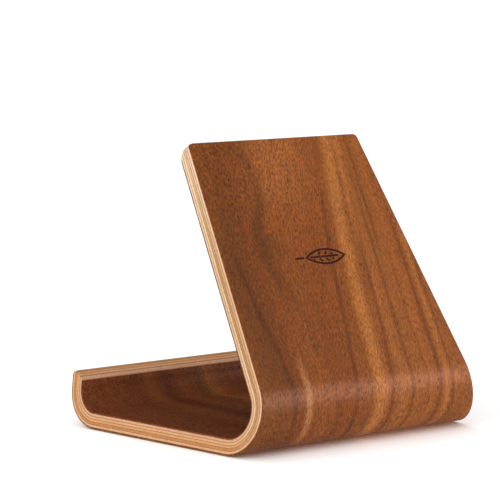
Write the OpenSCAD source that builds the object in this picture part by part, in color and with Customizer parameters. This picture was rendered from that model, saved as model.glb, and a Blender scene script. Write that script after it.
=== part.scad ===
// Tablet stand of moulded walnut plywood.
// One bent strip: a base that lies flat, a big-radius rear bend, a back rest that leans forward
// to the tablet, and a front curl that ends in a low lip. The tablet stands in the trough
// behind the lip and leans on the top edge of the back rest.
// +X is the width, -Y is the user's side, +Z is up. The origin is the centre of the footprint.

/* [Base] */
// Width of the base at the line where the front curl starts
base_w = 119; // [90:1:150]
// Length of the flat part of the base, between the front curl and the rear bend
base_flat = 69; // [60:1:110]
// Outside radius of the rear bend
rear_bend_r = 15.4; // [12:0.2:24]

/* [Back rest] */
// Slope of the back rest above the floor, in degrees
back_slope = 56.8; // [50:0.2:70]
// Straight length of the back rest, from the rear bend to its top edge
back_len = 93.8; // [75:0.2:120]

/* [Front lip] */
// Outside radius of the front curl
front_curl_r = 14.2; // [12:0.2:20]
// How far the front curl turns up from the floor, in degrees
front_curl_turn = 85; // [70:1:90]
// Straight length of the lip above the curl
lip_straight = 6; // [6:0.5:12]

/* [Outline] */
// How far each side cut closes in toward the rear, in degrees
side_cut_turn = 7; // [0:0.5:9]
// How far each side cut closes in toward the top, in degrees
side_cut_lean = 10.2; // [2:0.2:13]
// Radius of the outline corners on the back rest and on the lip
corner_r = 1.6; // [0.8:0.1:4]

/* [Laminate] */
// Thickness of each walnut face veneer
face_veneer_t = 0.5; // [0.4:0.05:0.6]
// Thickness of each birch core ply
core_ply_t = 0.96; // [0.8:0.02:1]

/* [Engraved leaf] */
// Distance from the top edge of the back rest down to the leaf's midrib
leaf_from_top = 48; // [35:1:60]
// Length of the leaf blade
leaf_len = 18; // [12:1:26]
// Width of the leaf blade
leaf_w = 6.4; // [4.4:0.2:9]
// Length of the leaf's stem
stem_len = 4.5; // [2:0.5:8]
// Width of the engraved lines
line_w = 0.8; // [0.4:0.1:0.8]
// Depth of the engraving
engrave_depth = 0.2; // [0.1:0.05:0.3]

/* [Anti-slip pads] */
// Diameter of each pad under the base
pad_d = 9; // [6:1:12]
// Thickness of each pad
pad_t = 0.4; // [0.3:0.1:1]
// Distance from a pad's centre to the near end of the flat base
pad_end_inset = 7; // [6:1:12]
// Distance from a pad's centre to the side of the base
pad_side_inset = 9; // [8:1:14]

/* [Hidden] */
$fn = 96;

core_plies = 5;
board_t = 2 * face_veneer_t + core_plies * core_ply_t;
// Length of a cutting block, longer than the whole stand
block = 400;
// Half the length of a cutter that crosses the board at a corner
corner_reach = 4 * board_t;

// The front curl starts at y_curl and the rear bend at y_bend, both on the flat base
front_reach = front_curl_r * sin(front_curl_turn) + lip_straight * cos(front_curl_turn);
depth = front_reach + base_flat + rear_bend_r;
y_curl = front_reach - depth / 2;
y_bend = y_curl + base_flat;
rear_bend_turn = 180 - back_slope;
rear_centre = [y_bend, pad_t + rear_bend_r];
front_centre = [y_curl, pad_t + front_curl_r];

// Outer corners of the two free ends, and the direction in which each end points
back_dir = [0, -cos(back_slope), sin(back_slope)];
back_foot = [0, y_bend + rear_bend_r * sin(rear_bend_turn), pad_t + rear_bend_r * (1 - cos(rear_bend_turn))];
back_end = back_foot + back_len * back_dir;
lip_dir = [0, -cos(front_curl_turn), sin(front_curl_turn)];
lip_foot = [
    0, y_curl - front_curl_r * sin(front_curl_turn), pad_t + front_curl_r * (1 - cos(front_curl_turn))
];
lip_end = lip_foot + lip_straight * lip_dir;

// Each side is one flat cut through this point, square to side_dir
side_point = [base_w / 2, y_curl, pad_t];
side_dir = [
    cos(side_cut_lean) * cos(side_cut_turn), cos(side_cut_lean) * sin(side_cut_turn), sin(side_cut_lean)
];

function unit(v) = v / norm(v);
// The corner where a free end's outer edge meets the side cut
function side_corner(end) = [
    side_point.x - (end - side_point) * [0, side_dir.y, side_dir.z] / side_dir.x, end.y, end.z
];

// ---- The bent strip, drawn in its side view: first axis toward the rear, second axis up ----

function polar(r, angle) = r * [cos(angle), sin(angle)];

// What a sharp corner has more than a round one of radius r, between two directions square to its sides
module corner_excess(r, from, to) {
    overrun = 1.2;
    half = (to - from) / 2;
    difference() {
        polygon([
            [0, 0],
            polar(overrun * r, from),
            polar(overrun * r / cos(half), from + half),
            polar(overrun * r, to)
        ]);
        circle(r);
    }
}

// The open space that the strip bends around, grown to a surface at this depth below the outer face,
// and cut off level at this height
module inside(deep, height) {
    r_rear = rear_bend_r - deep;
    r_front = front_curl_r - deep;
    half_rear = rear_bend_turn / 2;
    half_front = front_curl_turn / 2;
    rear_corner = rear_centre + polar(r_rear / cos(half_rear), half_rear - 90);
    front_corner = front_centre + polar(r_front / cos(half_front), -90 - half_front);
    difference() {
        polygon([
            front_corner,
            rear_corner,
            [rear_corner.x - (height - rear_corner.y) / tan(back_slope), height],
            [front_corner.x - (height - front_corner.y) / tan(front_curl_turn), height]
        ]);
        translate(rear_centre)
            corner_excess(r_rear, -90, rear_bend_turn - 90);
        translate(front_centre)
            corner_excess(r_front, -90 - front_curl_turn, -90);
    }
}

// Everything past a free end: square to the outer face, then rounded over to the inner face.
// The end points along the second axis, with its outer face at distance r_out
module past_end(r_out, end) {
    difference() {
        translate([r_out - board_t - 1, end - board_t])
            square([board_t + 2, block / 2]);
        translate([r_out, end - board_t])
            circle(board_t);
    }
}

// Side view of one sheet of the laminate, between two depths below the outer face
module sheet_profile(near, far) {
    difference() {
        inside(near, back_end.z + 1);
        inside(far, back_end.z + 2);
        translate(rear_centre)
            rotate(rear_bend_turn - 90)
                past_end(rear_bend_r, back_len);
        translate(front_centre)
            rotate(-90 - front_curl_turn)
                mirror([0, 1])
                    past_end(front_curl_r, lip_straight);
    }
}

// ---- Cuts that shape the outline of the pressed strip ----

// Everything outside the flat side cut
module side_cut() {
    translate(side_point)
        rotate([0, -side_cut_lean, side_cut_turn])
            translate([0, -block / 2, -block / 2])
                cube(block);
}

// Rounds the corner at p, where an end that points along dir meets the side cut. The round is a
// touch wider than a tangent one, so that it meets both faces in a clean edge
module corner_cut(p, dir) {
    lean = side_dir * dir;
    out = unit(side_dir - lean * dir);
    edge = cross(dir, out);
    spread = sqrt(1 - lean * lean);
    centre = [-corner_r, -corner_r * (1 - lean) / spread];
    reach = 2 * corner_r;
    multmatrix([
        [dir.x, out.x, edge.x, p.x],
        [dir.y, out.y, edge.y, p.y],
        [dir.z, out.z, edge.z, p.z],
        [0, 0, 0, 1]
    ])
        linear_extrude(2 * corner_reach, center = true)
            translate(centre)
                difference() {
                    polygon([[0, 0], [reach, 0], [reach, reach], reach * [lean, spread]]);
                    circle(1.03 * corner_r);
                }
}

// One sheet of the laminate, between two depths below the outer face. The corners are rounded
// in the outer half of the board; in the inner half the end's round-over has taken them off
module sheet(near, far) {
    difference() {
        rotate([90, 0, 90])
            linear_extrude(block / 2, center = true)
                sheet_profile(near, far);
        for (side = [0, 1])
            mirror([side, 0, 0]) {
                side_cut();
                if (near < board_t / 2) {
                    corner_cut(side_corner(back_end), back_dir);
                    corner_cut(side_corner(lip_end), lip_dir);
                }
            }
    }
}

// ---- Engraving: a plain leaf with a stem, a midrib and slanted veins ----

// Pointed oval of the leaf blade, drawn in by inset
module blade(inset) {
    r = (leaf_len * leaf_len + leaf_w * leaf_w) / (4 * leaf_w);
    intersection() {
        translate([0, r - leaf_w / 2])
            circle(r - inset);
        translate([0, leaf_w / 2 - r])
            circle(r - inset);
    }
}

// The leaf's lines, lying along the first axis with the stem on the left
module leaf() {
    vein_gap = leaf_len / 7;
    vein_slant = 50;
    difference() {
        blade(0);
        blade(line_w);
    }
    translate([-leaf_len / 2 - stem_len, -line_w / 2])
        square([stem_len + 0.88 * leaf_len, line_w]);
    intersection() {
        blade(line_w / 2);
        for (i = [-2:1], side = [-1, 1])
            translate([i * vein_gap, 0])
                rotate(side * vein_slant)
                    translate([0, -line_w / 2])
                        square([leaf_w, line_w]);
    }
}

// The leaf cut into the outer face of the back rest, upright and centred for a viewer behind the stand
module engraving() {
    translate(back_end - leaf_from_top * back_dir)
        rotate([back_slope, 0, 180])
            translate([stem_len / 2, 0, -engrave_depth])
                linear_extrude(2 * engrave_depth)
                    leaf();
}

// ---- The pieces ----

module outer_face_veneer() {
    color("#8a5330")
        difference() {
            sheet(0, face_veneer_t);
            engraving();
        }
}

// Core plies are counted from the outer face; the middle ones are a shade darker
module core_ply(number) {
    near = face_veneer_t + (number - 1) * core_ply_t;
    color(number == 1 || number == core_plies ? "#e8cfa6" : "#c9a878")
        sheet(near, near + core_ply_t);
}

module inner_face_veneer() {
    color("#7a4728")
        sheet(board_t - face_veneer_t, board_t);
}

// A round self-adhesive pad under a corner of the flat base; side is -1 on the user's left
module pad(side, rear) {
    y = rear ? y_bend - pad_end_inset : y_curl + pad_end_inset;
    half_w = base_w / 2 - (y - y_curl) * side_dir.y / side_dir.x;
    color("#3a3a3c")
        translate([side * (half_w - pad_side_inset), y, 0])
            cylinder(d = pad_d, h = pad_t);
}

outer_face_veneer();
core_ply(1);  // core_ply_1
core_ply(2);  // core_ply_2
core_ply(3);  // core_ply_3
core_ply(4);  // core_ply_4
core_ply(5);  // core_ply_5
inner_face_veneer();
pad(-1, false);  // front_left_pad
pad(1, false);  // front_right_pad
pad(-1, true);  // rear_left_pad
pad(1, true);  // rear_right_pad
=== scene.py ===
"""Looks of the moulded plywood tablet stand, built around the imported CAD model.

Every sheet of the laminate is one bent strip. A point on it is named by three lengths: across (from
the middle plane), along (developed along the outer face, from where the rear bend leaves the floor)
and deep (below the outer face). The same three lengths carry the wood's figure, so the grain follows
the bends.
"""

import math

import bpy
import numpy as np
from mathutils import Matrix, Vector


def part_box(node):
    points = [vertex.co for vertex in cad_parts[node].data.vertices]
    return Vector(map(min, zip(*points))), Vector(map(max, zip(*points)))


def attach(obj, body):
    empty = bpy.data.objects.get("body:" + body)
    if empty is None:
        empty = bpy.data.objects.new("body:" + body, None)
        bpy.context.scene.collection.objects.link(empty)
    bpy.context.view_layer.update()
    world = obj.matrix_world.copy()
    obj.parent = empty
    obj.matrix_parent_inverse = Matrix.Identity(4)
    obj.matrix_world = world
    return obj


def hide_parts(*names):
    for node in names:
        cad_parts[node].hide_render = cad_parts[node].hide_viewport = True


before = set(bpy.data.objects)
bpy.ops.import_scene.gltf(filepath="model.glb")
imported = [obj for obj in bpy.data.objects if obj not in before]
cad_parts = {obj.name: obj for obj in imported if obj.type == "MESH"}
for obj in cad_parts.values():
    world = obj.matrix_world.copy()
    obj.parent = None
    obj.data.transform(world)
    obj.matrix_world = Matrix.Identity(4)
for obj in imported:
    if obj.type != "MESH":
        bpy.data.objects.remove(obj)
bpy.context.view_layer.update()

MM = 0.001

# ---- Driving dimensions of the strip, as in the CAD model ----

REAR_BEND_R = 15.4 * MM
FRONT_CURL_R = 14.2 * MM
BACK_SLOPE = math.radians(56.8)
CURL_TURN = math.radians(85)
BACK_LEN = 93.8 * MM
LIP_STRAIGHT = 6 * MM
BASE_W = 119 * MM
SIDE_CUT_TURN = math.radians(7)
SIDE_CUT_LEAN = math.radians(10.2)
CORNER_R = 1.6 * MM
FACE_T = 0.5 * MM
PLY_T = 0.96 * MM
PLIES = 5
BOARD_T = 2 * FACE_T + PLIES * PLY_T
EDGE_EASE = 0.3 * MM

# Places taken from the imported CAD model: the board's height off the floor and where each bend starts
veneer_low, veneer_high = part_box("outer_face_veneer")
BOARD_Z = veneer_low.z
Y_BEND = veneer_high.y - REAR_BEND_R
Y_CURL = veneer_low.y + FRONT_CURL_R * math.sin(CURL_TURN) + LIP_STRAIGHT * math.cos(CURL_TURN)
BASE_LEN = Y_BEND - Y_CURL
BEND_TURN = math.pi - BACK_SLOPE

# ---- How finely the sheets are divided ----

CURL_ROWS = 34
FLAT_ROWS = 21
BEND_ROWS = 50
ROW_STEP = 3.5 * MM
# Distances from a free end, and from a side cut, that get rows and columns of their own
END_ROWS = np.array([0, 0.08, 0.18, 0.3, 0.5, 0.8, 1.15, 1.6, 2.4]) * MM
EASED_SIDE_COLUMNS = np.array([0, 0.08, 0.18, 0.3, 0.6, 1.2, 2.2]) * MM
PLAIN_SIDE_COLUMNS = np.array([0, 3]) * MM
EASED_MIDDLE_COLUMNS = 17
PLAIN_MIDDLE_COLUMNS = 5
# Depths that get points of their own: in the outer veneer more of them where its edges are eased,
# in the inner veneer at even steps round the rounded-over ends, in a ply at even steps
OUTER_DEPTHS = np.array([0, 0.08, 0.18, 0.3, 0.5]) * MM
INNER_DEPTHS = BOARD_T * np.sin(np.linspace(math.asin(1 - FACE_T / BOARD_T), math.pi / 2, 6))
PLY_DEPTHS = 5
# A distance larger than anything here, where nothing is to be eased
FAR = 1.0
# Faces that meet at more than this show a true edge
SHARP_TURN = math.radians(50)


# ---- The strip's shape ----


def end_drop(deep):
    """How far the rounded-over end lies below its own outer corner, at this depth."""
    return BOARD_T - np.sqrt(np.maximum(BOARD_T**2 - deep**2, 0))


def corner_inset(drop):
    """How far the rounded outline corner draws the side in, at this distance from the end."""
    left = np.maximum(CORNER_R - drop, 0)
    return CORNER_R - np.sqrt(CORNER_R**2 - left**2)


def rows_toward_end(length):
    """Distances from a free end, close together at the end, as shares of the straight length."""
    count = max(2, round((length - END_ROWS[-1]) / ROW_STEP))
    return np.append(END_ROWS[:-1], np.linspace(END_ROWS[-1], length, count + 1)) / length


def stations(deep):
    """The strip's rows from the lip's end to the back rest's end, for an array of depths.

    Returns along, toward the rear, up, and distance from the nearer free end, each one row by depth.
    """
    deep = np.asarray(deep)[None, :]
    rows = []

    share = rows_toward_end(LIP_STRAIGHT)[:, None]
    drop = end_drop(deep) + share * (LIP_STRAIGHT - end_drop(deep))
    rise = LIP_STRAIGHT - drop
    foot_y = Y_CURL - (FRONT_CURL_R - deep) * math.sin(CURL_TURN)
    foot_z = FRONT_CURL_R - (FRONT_CURL_R - deep) * math.cos(CURL_TURN)
    along = -BASE_LEN - FRONT_CURL_R * CURL_TURN - rise
    rows.append((along, foot_y - rise * math.cos(CURL_TURN), foot_z + rise * math.sin(CURL_TURN), drop))

    turn = np.linspace(CURL_TURN, 0, CURL_ROWS)[1:, None]
    rows.append((
        -BASE_LEN - FRONT_CURL_R * turn + 0 * deep,
        Y_CURL - (FRONT_CURL_R - deep) * np.sin(turn),
        FRONT_CURL_R - (FRONT_CURL_R - deep) * np.cos(turn),
        LIP_STRAIGHT + FRONT_CURL_R * (CURL_TURN - turn) + 0 * deep,
    ))

    flat = np.linspace(0, BASE_LEN, FLAT_ROWS)[1:, None] + 0 * deep
    rows.append((flat - BASE_LEN, Y_CURL + flat, 0 * flat + deep, 0 * flat + BASE_LEN))

    turn = np.linspace(0, BEND_TURN, BEND_ROWS)[1:, None]
    rows.append((
        REAR_BEND_R * turn + 0 * deep,
        Y_BEND + (REAR_BEND_R - deep) * np.sin(turn),
        REAR_BEND_R - (REAR_BEND_R - deep) * np.cos(turn),
        BACK_LEN + REAR_BEND_R * (BEND_TURN - turn) + 0 * deep,
    ))

    share = rows_toward_end(BACK_LEN)[::-1][1:, None]
    drop = end_drop(deep) + share * (BACK_LEN - end_drop(deep))
    rise = BACK_LEN - drop
    foot_y = Y_BEND + (REAR_BEND_R - deep) * math.sin(BEND_TURN)
    foot_z = REAR_BEND_R - (REAR_BEND_R - deep) * math.cos(BEND_TURN)
    along = REAR_BEND_R * BEND_TURN + rise
    rows.append((along, foot_y - rise * math.cos(BACK_SLOPE), foot_z + rise * math.sin(BACK_SLOPE), drop))

    return [np.concatenate(parts) for parts in zip(*rows)]


def side_reach(y, z):
    """Half the strip's width at a place in the side view, out to the flat side cut."""
    drawn_in = (y - Y_CURL) * math.tan(SIDE_CUT_TURN)
    leaned_in = z * math.tan(SIDE_CUT_LEAN) / math.cos(SIDE_CUT_TURN)
    return BASE_W / 2 - drawn_in - leaned_in


def ease(distances, radius):
    """Turns the square edges where these distances run out into round ones, as a cube maps to a ball."""
    v = [np.minimum(d / radius - 1, 0) for d in distances]
    squares = [a * a for a in v]
    eased = []
    for i, a in enumerate(v):
        p, q = squares[(i + 1) % 3], squares[(i + 2) % 3]
        moved = a * np.sqrt(1 - p / 2 - q / 2 + p * q / 3)
        eased.append(np.where(distances[i] < radius, radius * (1 + moved), distances[i]))
    return eased


def lattice_shell(counts):
    """Corner indices of the quads on the outside of a block of counts[0] x counts[1] x counts[2] points."""
    index = np.arange(np.prod(counts)).reshape(counts)
    quads = []
    for axis in range(3):
        for end in (0, -1):
            face = np.take(index, end, axis=axis)
            ring = np.stack([face[:-1, :-1], face[1:, :-1], face[1:, 1:], face[:-1, 1:]], -1)
            ring = ring.reshape(-1, 4)
            outward = (end == -1) == (axis == 1)
            quads.append(ring if outward else ring[:, ::-1])
    return np.concatenate(quads)


def board_directions(along):
    """Unit vectors (toward the rear, up) into the board and along it, at a developed length."""
    angle = np.where(
        along > 0,
        np.minimum(along / REAR_BEND_R, BEND_TURN),
        np.maximum(np.minimum(along + BASE_LEN, 0) / FRONT_CURL_R, -CURL_TURN),
    )
    return (-np.sin(angle), np.cos(angle)), (np.cos(angle), np.sin(angle))


def side_columns(reach, near_side, middle_count):
    """Places across the strip, from its left side to its right: close together at both side cuts."""
    inner = reach - near_side[-1]
    shares = np.linspace(-1, 1, middle_count + 2)[1:-1]
    left = [d - reach for d in near_side]
    right = [reach - d for d in near_side[::-1]]
    return np.stack(left + [share * inner for share in shares] + right, 1)


def sand_edges(eased_face, across, along, y, z, drop, deep, reach):
    """Rounds the edges of the face at this depth; returns across, toward the rear, and up."""
    # The inner face's ends are rounded over already, so only its sides are eased
    square_end = eased_face == 0
    from_face = np.abs(deep - eased_face)
    from_side = reach - np.abs(across)
    from_end = drop - end_drop(deep) if square_end else np.full_like(drop, FAR)
    side, face, end = ease([from_side, from_face, from_end], EDGE_EASE)

    into_board, along_strip = board_directions(along)
    sink = (face - from_face) * (1 if square_end else -1)
    back_off = np.where(along > 0, -1, 1) * (end - from_end if square_end else 0 * drop)
    return (
        np.sign(across) * (reach - side),
        y + sink * into_board[0] + back_off * along_strip[0],
        z + sink * into_board[1] + back_off * along_strip[1],
    )


def strip_sheet(name, depths, eased_face=None):
    """One sheet of the laminate as a closed mesh between the first and last of its depths.

    eased_face is the depth of a face whose edges are sanded round, or None.
    """
    along, y, z, drop = stations(depths)
    deep = np.broadcast_to(np.asarray(depths)[None, :], along.shape)
    reach = side_reach(y, z) - corner_inset(drop)
    if eased_face is None:
        across = side_columns(reach, PLAIN_SIDE_COLUMNS, PLAIN_MIDDLE_COLUMNS)
    else:
        across = side_columns(reach, EASED_SIDE_COLUMNS, EASED_MIDDLE_COLUMNS)
    along, y, z, drop, deep, reach = (
        np.broadcast_to(a[:, None, :], across.shape) for a in (along, y, z, drop, deep, reach)
    )
    if eased_face is not None:
        across, y, z = sand_edges(eased_face, across, along, y, z, drop, deep, reach)

    points = np.stack([across, y, z + BOARD_Z], -1).reshape(-1, 3)
    used, quads = np.unique(lattice_shell(across.shape), return_inverse=True)
    mesh = bpy.data.meshes.new(name)
    mesh.from_pydata(points[used].tolist(), [], quads.reshape(-1, 4).tolist())
    corner_points = used[quads.ravel()]
    add_uv(mesh, "strip", across.ravel()[corner_points], along.ravel()[corner_points])
    add_uv(mesh, "edge", along.ravel()[corner_points], deep.ravel()[corner_points])
    return finish_piece(name, mesh)


def add_uv(mesh, name, u, v):
    """Adds a UV map, in metres, with one pair for each face corner."""
    layer = mesh.uv_layers.new(name=name)
    layer.data.foreach_set("uv", np.stack([u, v], -1).astype(np.float32).ravel())


def finish_piece(name, mesh):
    """Makes an object of the mesh, shaded smooth with its true edges kept sharp."""
    mesh.validate()
    mesh.shade_smooth()
    mesh.set_sharp_from_angle(angle=SHARP_TURN)
    piece = bpy.data.objects.new(name, mesh)
    bpy.context.scene.collection.objects.link(piece)
    return piece


# ---- Node trees ----


def rgb(red, green, blue):
    """A display colour, 0 to 255 a channel, as the linear colour that shaders use."""
    shares = [channel / 255 for channel in (red, green, blue)]
    linear = [((s + 0.055) / 1.055) ** 2.4 if s > 0.04 else s / 12.92 for s in shares]
    return (*linear, 1.0)


def grey(value):
    """A linear grey."""
    return (value, value, value, 1.0)


class Graph:
    """The node tree of a material or a world, with a short call for each kind of node it uses."""

    def __init__(self, owner):
        owner.use_nodes = True
        self.owner = owner
        self.tree = owner.node_tree
        self.tree.nodes.clear()

    def add(self, kind, inputs=(), **settings):
        """Adds a node. Each input is a number, a colour, or a socket to link."""
        node = self.tree.nodes.new("ShaderNode" + kind)
        for key, value in settings.items():
            setattr(node, key, value)
        for key, value in dict(inputs).items():
            if isinstance(value, bpy.types.NodeSocket):
                self.tree.links.new(value, node.inputs[key])
            else:
                node.inputs[key].default_value = value
        return node

    def math(self, operation, a, b=0.0, c=0.0, clamp=False):
        return self.add("Math", {0: a, 1: b, 2: c}, operation=operation, use_clamp=clamp).outputs[0]

    def ramp(self, value, off_at, on_at):
        """A smooth step from 0 where the value is off_at to 1 where it is on_at, in either order."""
        limits = {"Value": value, "From Min": off_at, "From Max": on_at}
        return self.add("MapRange", limits, interpolation_type="SMOOTHSTEP").outputs["Result"]

    def point(self, x, y, z=0.0):
        return self.add("CombineXYZ", {0: x, 1: y, 2: z}).outputs[0]

    def scaled(self, vector, scale, offset=(0, 0, 0)):
        return self.add(
            "VectorMath", {0: vector, 1: scale, 2: offset}, operation="MULTIPLY_ADD"
        ).outputs[0]

    def noise(self, vector, detail=2.0):
        """Smooth noise from about -1 to 1, with spots about one unit wide."""
        node = self.add("TexNoise", {"Vector": vector, "Scale": 1.0, "Detail": detail})
        return self.math("MULTIPLY_ADD", node.outputs[0], 2.0, -1.0)

    def grain(self, place, size, shift, detail=2.0):
        """Noise with spots of this size, as (x, y, z); each shift gives other noise."""
        grid = self.scaled(place, [1 / length for length in size], (0, 0, shift))
        return self.noise(grid, detail)

    def noise_share(self, noise):
        """Noise from -1 to 1 as a share from 0 to 1."""
        return self.math("MULTIPLY_ADD", noise, 0.5, 0.5, clamp=True)

    def cells(self, vector, **settings):
        """Distance from the middle of the nearest cell, about 0 to 1."""
        node = self.add("TexVoronoi", {"Vector": vector, "Scale": 1.0}, **settings)
        return node.outputs["Distance"]

    def mix(self, amount, a, b):
        """Colour a where the amount is 0, and b where it is 1."""
        # The node's first sockets for a, b and the result are for numbers; these are the colour ones
        return self.add("Mix", {0: amount, 6: a, 7: b}, data_type="RGBA").outputs[2]

    def either(self, choice, a, b):
        """Number a where the choice is 0, and b where it is 1."""
        return self.add("Mix", {0: choice, 2: a, 3: b}).outputs[0]

    def brighten(self, colour, factor):
        return self.add("VectorMath", {0: colour, "Scale": factor}, operation="SCALE").outputs[0]

    def bands(self, value, stops):
        """A colour for each value, given as (value, colour) stops from the lowest to the highest."""
        low, high = stops[0][0], stops[-1][0]
        share = self.math("DIVIDE", self.math("SUBTRACT", value, low), high - low)
        node = self.add("ValToRGB", {0: share})
        elements = node.color_ramp.elements
        while len(elements) < len(stops):
            elements.new(0.5)
        for element, (place, colour) in zip(elements, stops):
            element.position = (place - low) / (high - low)
            element.color = colour
        return node.outputs[0]

    def strip_place(self):
        """Across, along and deep, in millimetres."""
        strip = self.add("SeparateXYZ", {0: self.add("UVMap", uv_map="strip").outputs[0]})
        edge = self.add("SeparateXYZ", {0: self.add("UVMap", uv_map="edge").outputs[0]})
        sockets = strip.outputs[0], strip.outputs[1], edge.outputs[1]
        return [self.math("MULTIPLY", s, 1 / MM) for s in sockets]

    def curve(self, value, points):
        """A smooth curve through (value, result) points between 0 and 1, level beyond its ends."""
        node = self.add("FloatCurve", {"Value": value})
        node.mapping.extend = "HORIZONTAL"
        knots = node.mapping.curves[0].points
        while len(knots) < len(points):
            knots.new(0.5, 0.5)
        for knot, point in zip(knots, points):
            knot.location = point
            knot.handle_type = "AUTO"
        node.mapping.update()
        return node.outputs[0]

    def surface(self, colour, roughness, height, bump_depth, **shine):
        """A bumpy surface; shine holds more of its inputs, by name with _ for each space."""
        bump = self.add("Bump", {"Height": height, "Distance": bump_depth, "Strength": 1.0})
        inputs = {"Base Color": colour, "Roughness": roughness, "Normal": bump.outputs[0]}
        inputs.update({name.replace("_", " "): value for name, value in shine.items()})
        return self.add("BsdfPrincipled", inputs).outputs[0]

    def finish(self, shader, output="OutputMaterial"):
        """Ends the tree with this shader."""
        self.add(output, {"Surface": shader})
        return self.owner


def material_graph(name):
    """The graph of a new material."""
    return Graph(bpy.data.materials.new(name))


# ---- Walnut ----

# Left and right in this section are as seen from behind the stand, where +X is on the left.

# Colours across the veneers' figure, by their place in millimetres; the outer one is smokier on
# the left, in its last few bands
OUTER_BANDS = [
    (-46, rgb(145, 80, 30)), (-40, rgb(140, 75, 25)), (-34, rgb(150, 85, 30)), (-28, rgb(140, 75, 25)),
    (-24, rgb(155, 85, 30)), (-20, rgb(145, 80, 25)), (-12, rgb(150, 85, 30)), (-4, rgb(140, 75, 25)),
    (2, rgb(130, 70, 15)), (8, rgb(135, 70, 20)), (14, rgb(130, 65, 15)), (22, rgb(135, 70, 20)),
    (32, rgb(120, 60, 15)), (46, rgb(120, 65, 15)),
]
# The inner veneer's colours are darker: walnut colour with painted shade from a tablet in the stand
INNER_BANDS_WITH_PAINTED_SHADE = [
    (-46, rgb(110, 55, 25)), (-34, rgb(120, 65, 30)), (-27, rgb(100, 50, 25)), (-16, rgb(115, 60, 30)),
    (-9, rgb(130, 75, 35)), (-4, rgb(100, 55, 25)), (6, rgb(115, 60, 30)), (15, rgb(90, 45, 25)),
    (24, rgb(120, 65, 30)), (33, rgb(105, 55, 25)), (46, rgb(115, 60, 30)),
]

SMOKE = rgb(75, 40, 10)
DARK_LINE = rgb(85, 40, 10)
GOLD = rgb(195, 120, 55)
WARM = rgb(170, 100, 45)
PALE = rgb(215, 150, 90)
PORE = rgb(50, 25, 10)
# Lines of the outer veneer's figure. Each runs through (along, across) points in millimetres, then
# has a half width, a colour, how much of it shows, and the four places along the strip where it
# starts to show, shows fully, starts to fade and is gone.
OUTER_LINES = [
    # The smoky left side: a dark core line inside a wide soft streak, and wandering clouds
    (((0, 36), (127, 37)), 6.5, SMOKE, 0.4, (14, 50, 76, 108)),
    (((0, 34.5), (45, 32.5), (62, 34.5), (127, 38)), 1.1, DARK_LINE, 0.8, (0, 34, 70, 96)),
    (((60, 19), (88, 23), (108, 15.5), (127, 19)), 2.4, SMOKE, 0.6, (60, 84, 120, 130)),
    (((60, 30), (90, 33), (127, 28)), 3.0, SMOKE, 0.2, (76, 92, 112, 128)),
    (((0, 8), (70, 16), (127, 28)), 6.0, SMOKE, 0.15, (10, 40, 80, 100)),
    (((0, 14), (60, 17), (127, 30)), 1.0, DARK_LINE, 0.25, (0, 12, 60, 84)),
    # A warmer, lighter patch in the middle of the top
    (((70, 10), (127, 1)), 13.0, WARM, 0.5, (84, 118, 200, 210)),
    # The dark line that parts from the golden stripe on its way down, and the ones on its right
    (((0, 7.5), (20, 6.5), (58, -0.5), (100, -10), (127, -17)), 0.9, DARK_LINE, 0.6, (0, 6, 60, 150)),
    (((0, -8.5), (38, -12), (56, -16), (96, -20), (127, -25)), 0.8, DARK_LINE, 0.5, (0, 6, 60, 150)),
    (((0, -16.5), (60, -22.5), (127, -29)), 0.8, DARK_LINE, 0.5, (0, 6, 70, 140)),
    (((0, -29.5), (60, -34.5), (127, -41)), 0.7, DARK_LINE, 0.5, (0, 6, 70, 115)),
    (((60, -25), (127, -31.5)), 0.8, DARK_LINE, 0.45, (66, 90, 120, 135)),
    (((0, -36), (64, -40), (127, -46)), 0.7, DARK_LINE, 0.45, (0, 6, 70, 100)),
    (((0, -24), (40, -27), (127, -36)), 0.6, DARK_LINE, 0.25, (0, 10, 60, 110)),
    # The golden stripe and smaller bright ones
    (((0, -2), (36, -6), (77, -12), (127, -22.5)), 2.7, GOLD, 0.55, (0, 12, 200, 210)),
    (((60, -14), (127, -27)), 1.2, GOLD, 0.35, (70, 100, 200, 210)),
    (((0, -13), (50, -17), (127, -27)), 1.1, GOLD, 0.2, (10, 40, 60, 90)),
    (((0, 27.5), (60, 25)), 1.3, PALE, 0.4, (4, 22, 30, 48)),
    (((0, -33.5), (30, -35), (127, -45)), 1.0, GOLD, 0.25, (4, 20, 60, 110)),
]

# A curve node holds values from 0 to 1, which stand for these lengths in millimetres
CURVE_ALONG = 127.0
CURVE_ACROSS = 100.0

# How far the grain leans at most, in millimetres across for each millimetre along
GRAIN_LEAN = 0.19
# How far the lines wander, in millimetres: a broad drift, a finer waver, and a little more of it
# in the lines alone
DRIFT = 1.5
WAVER = 0.75
LINE_WAVER = 1.2
# Fibres as (width, length, strength), widest first; the pores' cells as (width, length)
FIBRES = ((2.6, 44.0, 0.11), (1.2, 20.0, 0.17), (0.6, 8.0, 0.42), (0.34, 1.6, 1.25))
PORE_CELLS = ((0.9, 3.4), (0.6, 2.2))
PORE_DARKNESS = 0.45
WALNUT_ROUGHNESS = 0.41
WALNUT_RELIEF = 0.008 * MM
WALNUT_SHINE_TINT = (1.0, 0.66, 0.56, 1.0)


def figure_line(g, colour, across, along, waver, line):
    """Lays one line of the figure over the colour."""
    points, half_width, tint, amount, (fade_in, full, still_full, gone) = line
    knots = [(s / CURVE_ALONG, x / CURVE_ACROSS + 0.5) for s, x in points]
    middle = g.curve(g.math("DIVIDE", along, CURVE_ALONG), knots)
    middle = g.math("MULTIPLY_ADD", middle, CURVE_ACROSS, -CURVE_ACROSS / 2)
    off = g.math("ABSOLUTE", g.math("ADD", g.math("SUBTRACT", across, middle), waver))
    body = g.ramp(off, 1.7 * half_width, 0.25 * half_width)
    start = g.ramp(along, fade_in, full)
    stop = g.ramp(along, gone, still_full)
    share = g.math("MULTIPLY", g.math("MULTIPLY", body, amount), g.math("MULTIPLY", start, stop))
    return g.mix(share, colour, tint)


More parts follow.
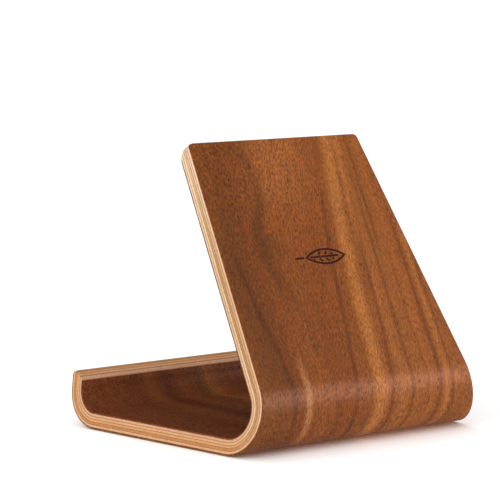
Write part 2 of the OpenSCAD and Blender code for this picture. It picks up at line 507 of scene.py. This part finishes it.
def lean_grain(g, across, along, place):
    """Where a point lies across the figure, and how the lines waver there.

    The grain leans to the right as it climbs: not at all at the left edge, most just right of the
    middle, and less again at the right edge.
    """
    more = g.ramp(across, 50.0, -14.0)
    less = g.math("MULTIPLY_ADD", g.ramp(across, -8.0, -44.0), -0.6, 1.0)
    lean = g.math("MULTIPLY", more, less)
    figure = g.math("MULTIPLY_ADD", g.math("MULTIPLY", along, lean), GRAIN_LEAN, across)
    drift = g.grain(place, (26, 95, 1), 0, detail=1.0)
    waver = g.grain(place, (6, 34, 1), 5)
    figure = g.math("MULTIPLY_ADD", drift, DRIFT, g.math("MULTIPLY_ADD", waver, WAVER, figure))
    return figure, waver


def walnut_pores(g, figure, along, place):
    """Open pores: short dark dashes along the grain, fewer of them in some places."""
    presence = g.ramp(g.grain(place, (2.6, 9, 1), 31), -0.5, 0.3)
    pore = 0.0
    for i, (width, length) in enumerate(PORE_CELLS):
        grid = g.scaled(g.point(figure, along), (1 / width, 1 / length, 1), (7 * i, 3 * i, 0))
        distance = g.cells(grid, voronoi_dimensions="2D")
        pore = g.math("MAXIMUM", g.ramp(distance, 0.30, 0.14), pore)
    return g.math("MULTIPLY", pore, presence)


def walnut(name, bands, lines, seed, shine):
    """Oiled walnut veneer, its grain running along the strip."""
    g = material_graph(name)
    across, along, _ = g.strip_place()
    place = g.point(across, along, seed)
    figure, waver = lean_grain(g, across, along, place)
    colour = g.bands(figure, bands)
    for line in lines:
        colour = figure_line(g, colour, across, along, g.math("MULTIPLY", waver, LINE_WAVER), line)

    # Fibres, each much longer than wide, and a cross-grain mottle
    fibres = g.point(figure, along, seed)
    tone = 1.0
    for i, (width, length, strength) in enumerate(FIBRES):
        fibre = g.grain(fibres, (width, length, 1), 11 + i)
        tone = g.math("MULTIPLY_ADD", fibre, strength, tone)
    mottle = g.grain(place, (9, 4, 1), 21, detail=3.0)
    tone = g.math("MULTIPLY_ADD", mottle, 0.11, tone)
    colour = g.brighten(colour, tone)

    pore = walnut_pores(g, figure, along, place)
    colour = g.mix(g.math("MULTIPLY", pore, PORE_DARKNESS), colour, PORE)

    fine = g.grain(place, (0.3, 4.0, 1), 41)
    height = g.math("MULTIPLY_ADD", fine, 0.5, g.math("MULTIPLY", pore, -1.0))
    roughness = g.math("MULTIPLY_ADD", pore, 0.2, WALNUT_ROUGHNESS)
    roughness = g.math("MULTIPLY_ADD", fine, 0.08, roughness)
    return g.finish(g.surface(
        colour, roughness, height, WALNUT_RELIEF,
        Specular_IOR_Level=shine, Specular_Tint=WALNUT_SHINE_TINT,
    ))


# ---- Birch plies, seen on their edges ----

# Each ply's colour on the base and on the back rest, the outermost ply first
PLY_COLOURS = [
    (rgb(210, 160, 115), rgb(215, 170, 130)),
    (rgb(185, 125, 75), rgb(195, 150, 110)),
    (rgb(205, 150, 100), rgb(170, 130, 85)),
    (rgb(210, 155, 110), rgb(220, 180, 135)),
    (rgb(205, 155, 120), rgb(200, 170, 135)),
]
GLUE = rgb(140, 90, 50)
PALER_TOP_COLOUR = rgb(245, 220, 190)
VESSEL = rgb(135, 85, 45)
BIRCH_ROUGHNESS = 0.6
BIRCH_RELIEF = 0.02 * MM


def birch(name, base_colour, back_colour, cross_grain, seed):
    """Birch ply whose fibres run along the strip, or across it for a cross-grain ply."""
    g = material_graph(name)
    across, along, deep = g.strip_place()
    place = g.point(across, along, deep)

    # The colour changes along the rear bend and grows paler toward the top
    broad = g.grain(place, (14, 18, 2), seed + 7)
    climb = g.math("MULTIPLY_ADD", broad, 9.0, along)
    colour = g.mix(g.ramp(climb, 2.0, 26.0), base_colour, back_colour)
    colour = g.mix(g.math("MULTIPLY", g.ramp(climb, 70.0, 128.0), 0.38), colour, PALER_TOP_COLOUR)

    # Streaks along the strip, a grainier mottle and the fine fibres or, cut across, their ends
    streak = g.grain(place, (6, 7, 0.28), seed)
    mottle = g.grain(place, (1.2, 1.1, 0.5), seed + 3)
    fibre_size = (9.0, 0.3, 0.2) if cross_grain else (0.4, 3.0, 0.2)
    fibre = g.grain(place, fibre_size, seed + 5, detail=3.0)
    tone = g.math("MULTIPLY_ADD", streak, 0.22, g.math("MULTIPLY_ADD", mottle, 0.30, 1.0))
    tone = g.math("MULTIPLY_ADD", fibre, 0.30 if cross_grain else 0.20, tone)
    tone = g.math("MULTIPLY_ADD", broad, 0.05, tone)
    colour = g.brighten(colour, tone)

    # Thin brown glue lines where this ply meets its neighbours, broken up along their length
    layer = g.math("DIVIDE", g.math("SUBTRACT", deep, FACE_T / MM), PLY_T / MM)
    from_joint = g.math("ABSOLUTE", g.math("SUBTRACT", layer, g.math("ROUND", layer)))
    patchy = g.grain(place, (3, 5, 1), seed + 13)
    strength = g.math("MULTIPLY_ADD", patchy, 0.55, 0.72, clamp=True)
    glue = g.math("MULTIPLY", g.ramp(from_joint, 0.22, 0.06), strength)
    colour = g.mix(glue, colour, GLUE)

    # Vessels show as fine dark specks, plainer in a ply cut across its grain
    distance = g.cells(g.scaled(place, (1 / 0.5, 1 / 0.7, 1 / 0.36)))
    speck = g.math("MULTIPLY", g.ramp(distance, 0.36, 0.12), 0.5 if cross_grain else 0.25)
    colour = g.mix(speck, colour, VESSEL)

    height = g.math("MULTIPLY_ADD", fibre, 0.3, g.math("MULTIPLY", g.math("ADD", glue, speck), -1.0))
    roughness = g.math("MULTIPLY_ADD", fibre, 0.05, BIRCH_ROUGHNESS)
    return g.finish(g.surface(colour, roughness, height, BIRCH_RELIEF, Specular_IOR_Level=0.3))


# ---- Small materials ----

CHAR_RELIEF = 0.02 * MM
SILICONE_RELIEF = 0.01 * MM


def burnt_wood(name):
    """Laser-engraved walnut: charred brown, dry, with a trace of the fibres."""
    g = material_graph(name)
    place = g.add("TexCoord").outputs["Object"]
    char = g.noise(g.scaled(place, (2500, 900, 900)), detail=3.0)
    colour = g.mix(g.noise_share(char), rgb(45, 15, 10), rgb(70, 30, 20))
    roughness = g.math("MULTIPLY_ADD", char, 0.08, 0.8)
    return g.finish(g.surface(colour, roughness, char, CHAR_RELIEF, Specular_IOR_Level=0.2))


def silicone(name):
    """Matt dark silicone with a fine moulded grain."""
    g = material_graph(name)
    place = g.add("TexCoord").outputs["Object"]
    fine = g.noise(g.scaled(place, (6000, 6000, 6000)))
    dust = g.noise(g.scaled(place, (400, 400, 400)), detail=3.0)
    colour = g.mix(g.noise_share(dust), rgb(65, 65, 65), rgb(80, 80, 80))
    roughness = g.math("MULTIPLY_ADD", dust, 0.06, 0.62)
    return g.finish(g.surface(colour, roughness, fine, SILICONE_RELIEF))


# ---- Engraved leaf ----

LEAF_FROM_TOP = 48 * MM
LEAF_LEN = 18 * MM
LEAF_W = 6.4 * MM
STEM_LEN = 4.5 * MM
LINE_W = 0.8 * MM
ENGRAVE_DEPTH = 0.2 * MM
# Between strokes, so that they never touch
STROKE_GAP = 0.35 * MM
ARC_STEPS = 40
# The midrib's ends, as shares of the leaf's length from its middle
MIDRIB = (-0.38, 0.31)
# Where the veins leave the midrib, from the leaf's middle, and how they lean to the tip
VEIN_FEET = (-5.5 * MM, -2.8 * MM, 0.0, 2.8 * MM)
VEIN_LEAN = math.radians(50)
# A vein reaches out as far as the blade's inner edge does this far ahead of its foot, less a gap
VEIN_AHEAD = 1.2 * MM
VEIN_CLEAR = 0.45 * MM


def back_frame():
    """Axes on the outer face of the back rest at the leaf: right and up for a viewer behind, and out."""
    rise = BACK_LEN - LEAF_FROM_TOP
    y = Y_BEND + REAR_BEND_R * math.sin(BEND_TURN) - rise * math.cos(BACK_SLOPE)
    z = BOARD_Z + REAR_BEND_R * (1 - math.cos(BEND_TURN)) + rise * math.sin(BACK_SLOPE)
    up = Vector((0, -math.cos(BACK_SLOPE), math.sin(BACK_SLOPE)))
    out = Vector((0, math.sin(BACK_SLOPE), math.cos(BACK_SLOPE)))
    right = Vector((-1, 0, 0))
    turn = Matrix((right, up, out)).transposed().to_4x4()
    return Matrix.Translation((0, y, z)) @ turn


def stroke(start, end):
    """Outline of a straight stroke with square ends."""
    start, end = Vector(start), Vector(end)
    side = (end - start).normalized().orthogonal() * LINE_W / 2
    return [start - side, end - side, end + side, start + side]


def leaf_strokes():
    """The blade's rim as two closed outlines, and the stem, midrib and veins as one outline each."""
    blade_r = (LEAF_LEN**2 + LEAF_W**2) / (4 * LEAF_W)
    blade_x = STEM_LEN / 2

    def half_width(u, radius):
        return math.sqrt(max(radius**2 - u**2, 0)) - (blade_r - LEAF_W / 2)

    tip = LEAF_LEN / 2
    inner_r = blade_r - LINE_W
    inner_tip = math.sqrt(inner_r**2 - (blade_r - LEAF_W / 2) ** 2)
    ring = []
    for radius, end in ((blade_r, tip), (inner_r, inner_tip)):
        across = [end * math.cos(math.pi * k / ARC_STEPS) for k in range(ARC_STEPS + 1)]
        upper = [Vector((blade_x + u, half_width(u, radius))) for u in across]
        lower = [Vector((p.x, -p.y)) for p in reversed(upper)]
        ring.append(upper + lower[1:-1])

    base = blade_x - tip
    strokes = [
        stroke((base - STEM_LEN, 0), (base - STROKE_GAP, 0)),
        stroke((blade_x + MIDRIB[0] * LEAF_LEN, 0), (blade_x + MIDRIB[1] * LEAF_LEN, 0)),
    ]
    foot = LINE_W / 2 + STROKE_GAP
    for u in VEIN_FEET:
        reach = half_width(u + VEIN_AHEAD, inner_r) - VEIN_CLEAR
        vein_tip = blade_x + u + (reach - foot) / math.tan(VEIN_LEAN)
        for side in (-1, 1):
            strokes.append(stroke((blade_x + u, side * foot), (vein_tip, side * reach)))
    return ring, strokes


def engrave_leaf(veneer, material):
    """Cuts the leaf into the outer face, with the material on the cut's own faces."""
    (outline, hole), strokes = leaf_strokes()
    points, faces = [], []

    def prism(loop):
        """Adds a prism's sides through the face; returns its first point and its outline's length."""
        first, count = len(points), len(loop)
        for height in (-ENGRAVE_DEPTH, ENGRAVE_DEPTH):
            points.extend((p.x, p.y, height) for p in loop)
        for k in range(count):
            n = (k + 1) % count
            faces.append((first + k, first + n, first + count + n, first + count + k))
        return first, count

    for loop in strokes:
        area = sum(p.x * q.y - q.x * p.y for p, q in zip(loop, loop[1:] + loop[:1]))
        first, count = prism(loop if area > 0 else loop[::-1])
        faces.append(tuple(range(first + count - 1, first - 1, -1)))
        faces.append(tuple(range(first + count, first + 2 * count)))

    # The blade is a ring: outline and hole have the same number of points, so its caps are quads
    outer, count = prism(outline)
    inner, _ = prism(hole[::-1])
    back = [inner + count - 1 - k for k in range(count)]
    for k in range(count):
        n = (k + 1) % count
        faces.append((outer + n, outer + k, back[k], back[n]))
        faces.append((outer + count + k, outer + count + n, back[n] + count, back[k] + count))

    mesh = bpy.data.meshes.new("leaf_cutter")
    mesh.from_pydata(points, [], faces)
    mesh.transform(back_frame())
    mesh.materials.append(material)
    cutter = bpy.data.objects.new("leaf_cutter", mesh)
    bpy.context.scene.collection.objects.link(cutter)

    veneer.data.materials.append(material)
    cut = veneer.modifiers.new("engraving", "BOOLEAN")
    cut.operation = "DIFFERENCE"
    cut.solver = "MANIFOLD"
    cut.object = cutter
    cut.material_mode = "TRANSFER"
    view = bpy.context.evaluated_depsgraph_get()
    carved = bpy.data.meshes.new_from_object(veneer.evaluated_get(view))
    veneer.modifiers.clear()
    veneer.data = carved
    bpy.data.objects.remove(cutter)


# ---- Build the stand ----

outer_veneer = strip_sheet("outer_walnut_sheet", OUTER_DEPTHS, eased_face=0)
inner_veneer = strip_sheet("inner_walnut_sheet", INNER_DEPTHS, eased_face=BOARD_T)
plies = []
for number in range(1, PLIES + 1):
    near = FACE_T + (number - 1) * PLY_T
    plies.append(strip_sheet(f"birch_ply_{number}", np.linspace(near, near + PLY_T, PLY_DEPTHS)))

outer_wood = walnut("outer_walnut_wood", OUTER_BANDS, OUTER_LINES, seed=3.0, shine=0.6)
outer_veneer.data.materials.append(outer_wood)
engrave_leaf(outer_veneer, burnt_wood("engraved_walnut"))
# The inner veneer's wood carries painted shade in its darker colours
inner_wood = walnut("inner_walnut_wood", INNER_BANDS_WITH_PAINTED_SHADE, [], seed=57.0, shine=0.2)
inner_veneer.data.materials.append(inner_wood)
for number, (ply, colours) in enumerate(zip(plies, PLY_COLOURS), 1):
    is_cross = number % 2 == 0
    wood = birch(f"birch_wood_{number}", *colours, is_cross, seed=17.0 * number)
    ply.data.materials.append(wood)

pieces = {"outer_face_veneer": outer_veneer, "inner_face_veneer": inner_veneer}
pieces.update({f"core_ply_{number}": ply for number, ply in enumerate(plies, 1)})
for node, piece in pieces.items():
    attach(piece, "root")
    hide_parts(node)

# The pads are the CAD model's own, with their hard edges rounded
PAD_ROUND = 0.12 * MM
pad_material = silicone("pad_silicone")
for node in ("front_left_pad", "front_right_pad", "rear_left_pad", "rear_right_pad"):
    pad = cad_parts[node]
    pad.data.materials[0] = pad_material
    rounding = pad.modifiers.new("rounding", "BEVEL")
    rounding.width = PAD_ROUND
    rounding.segments = 2

# ---- Floor, light and camera ----

FLOOR_SIZE = 60
# The floor's own white for the camera, the glow that it adds to the light on the wood, and how
# bright it is in reflections
FLOOR_WHITE = 1.2
FLOOR_GLOW = 0.6
FLOOR_REFLECTED = 0.15
# How bright the sky is for the camera, and for the surfaces that it lights
SKY_SEEN = 1.1
SKY_FILL = 0.9
# Reflections see a dark room with one bright band behind the stand. The band comes up over this
# range of a direction's rearward part, and has these shares of its glow by the upward part.
BAND_GLOW = 3.8
BAND_REAR = (0.1, 0.5)
BAND_SHARES = ((0.0, 0.5), (0.1, 0.9), (0.2, 1.0), (0.34, 1.0), (0.46, 0.5), (0.56, 0.05), (1.0, 0.01))

SOFTBOX_PLACE = Vector((0.9, 0.35, 0.6))
SOFTBOX_AIM = Vector((0, 0, 0.05))
SOFTBOX_SIZE = (0.5, 0.7)
SOFTBOX_POWER = 3

# The camera as it was fitted to the photo. Its azimuth runs from the front, by the user's right, to
# the side it stands on.
CAMERA_PLACE = Vector((506.1, 670.0, 158.2)) * MM
CAMERA_AZIMUTH = math.radians(143.45)
CAMERA_ELEVATION = math.radians(6.22)
CAMERA_ROLL = math.radians(-0.56)
CAMERA_LENS = 170.56
CAMERA_SHIFT = (-0.0226, -0.0201)


def make_floor():
    """A big floor that shows as plain white, but glows for the wood and is dim in reflections.

    The glow keeps the underside of the bend out of the dark.
    """
    half = FLOOR_SIZE / 2
    corners = [(-half, -half, 0), (half, -half, 0), (half, half, 0), (-half, half, 0)]
    mesh = bpy.data.meshes.new("floor")
    mesh.from_pydata(corners, [], [(0, 1, 2, 3)])
    floor = bpy.data.objects.new("floor", mesh)
    bpy.context.scene.collection.objects.link(floor)

    g = material_graph("floor_paint")
    place = g.add("TexCoord").outputs["Object"]
    dust = g.noise(g.scaled(place, (40, 40, 40)), detail=3.0)
    colour = g.mix(g.noise_share(dust), grey(0.84), grey(0.86))
    glowing = g.surface(
        colour, 0.9, dust, 0.01 * MM, Specular_IOR_Level=0.0,
        Emission_Color=grey(1.0), Emission_Strength=FLOOR_GLOW,
    )
    rays = g.add("LightPath").outputs
    plain = g.add("BsdfDiffuse", {"Color": grey(FLOOR_WHITE)}).outputs[0]
    dim = g.add("Emission", {"Color": grey(1.0), "Strength": FLOOR_REFLECTED}).outputs[0]
    shown = g.add("MixShader", {0: rays["Is Camera Ray"], 1: glowing, 2: plain}).outputs[0]
    both = g.add("MixShader", {0: rays["Is Glossy Ray"], 1: shown, 2: dim}).outputs[0]
    mesh.materials.append(g.finish(both))


def make_world():
    """A white studio, which reflections see as a dark room with one bright band behind the stand."""
    world = bpy.data.worlds.new("studio")
    bpy.context.scene.world = world
    g = Graph(world)
    rays = g.add("LightPath").outputs
    rear, up = g.add("SeparateXYZ", {0: g.add("TexCoord").outputs["Generated"]}).outputs[1:]
    low, high = BAND_REAR
    limits = {"Value": rear, "From Min": low, "From Max": high, "To Max": BAND_GLOW}
    behind = g.add("MapRange", limits).outputs[0]
    band = g.math("MULTIPLY", g.curve(up, BAND_SHARES), behind)
    lit = g.either(rays["Is Glossy Ray"], SKY_FILL, band)
    shown = g.either(rays["Is Camera Ray"], lit, SKY_SEEN)
    sky = g.add("Background", {"Color": grey(1.0), "Strength": shown})
    g.finish(sky.outputs[0], output="OutputWorld")
    # Reflections see a different sky, so only the rays themselves may look it up
    world.cycles.sampling_method = "NONE"


def make_softbox():
    """A weak light from the user's right, which doesn't show in reflections."""
    light = bpy.data.lights.new("key_softbox", "AREA")
    light.shape = "RECTANGLE"
    light.size, light.size_y = SOFTBOX_SIZE
    light.energy = SOFTBOX_POWER
    lamp = bpy.data.objects.new("key_softbox", light)
    lamp.location = SOFTBOX_PLACE
    lamp.visible_glossy = False
    lamp.rotation_euler = (SOFTBOX_AIM - SOFTBOX_PLACE).to_track_quat("-Z", "Y").to_euler()
    bpy.context.scene.collection.objects.link(lamp)


def make_camera():
    """The camera stands behind the stand, to the user's right, and looks down slightly."""
    level = math.cos(CAMERA_ELEVATION)
    away = Vector((
        math.sin(CAMERA_AZIMUTH) * level,
        -math.cos(CAMERA_AZIMUTH) * level,
        math.sin(CAMERA_ELEVATION),
    ))
    right = Vector((0, 0, 1)).cross(away).normalized()
    up = away.cross(right)
    turned_right = right * math.cos(CAMERA_ROLL) + up * math.sin(CAMERA_ROLL)
    turned_up = up * math.cos(CAMERA_ROLL) - right * math.sin(CAMERA_ROLL)
    place = Matrix((turned_right, turned_up, away)).transposed().to_4x4()
    place.translation = CAMERA_PLACE

    data = bpy.data.cameras.new("camera")
    data.sensor_width = 36
    data.lens = CAMERA_LENS
    data.shift_x, data.shift_y = CAMERA_SHIFT
    data.clip_end = 200
    camera = bpy.data.objects.new("camera", data)
    camera.matrix_world = place
    bpy.context.scene.collection.objects.link(camera)
    bpy.context.scene.camera = camera


make_floor()
make_world()
make_softbox()
make_camera()
bpy.context.scene.view_settings.view_transform = "Standard"
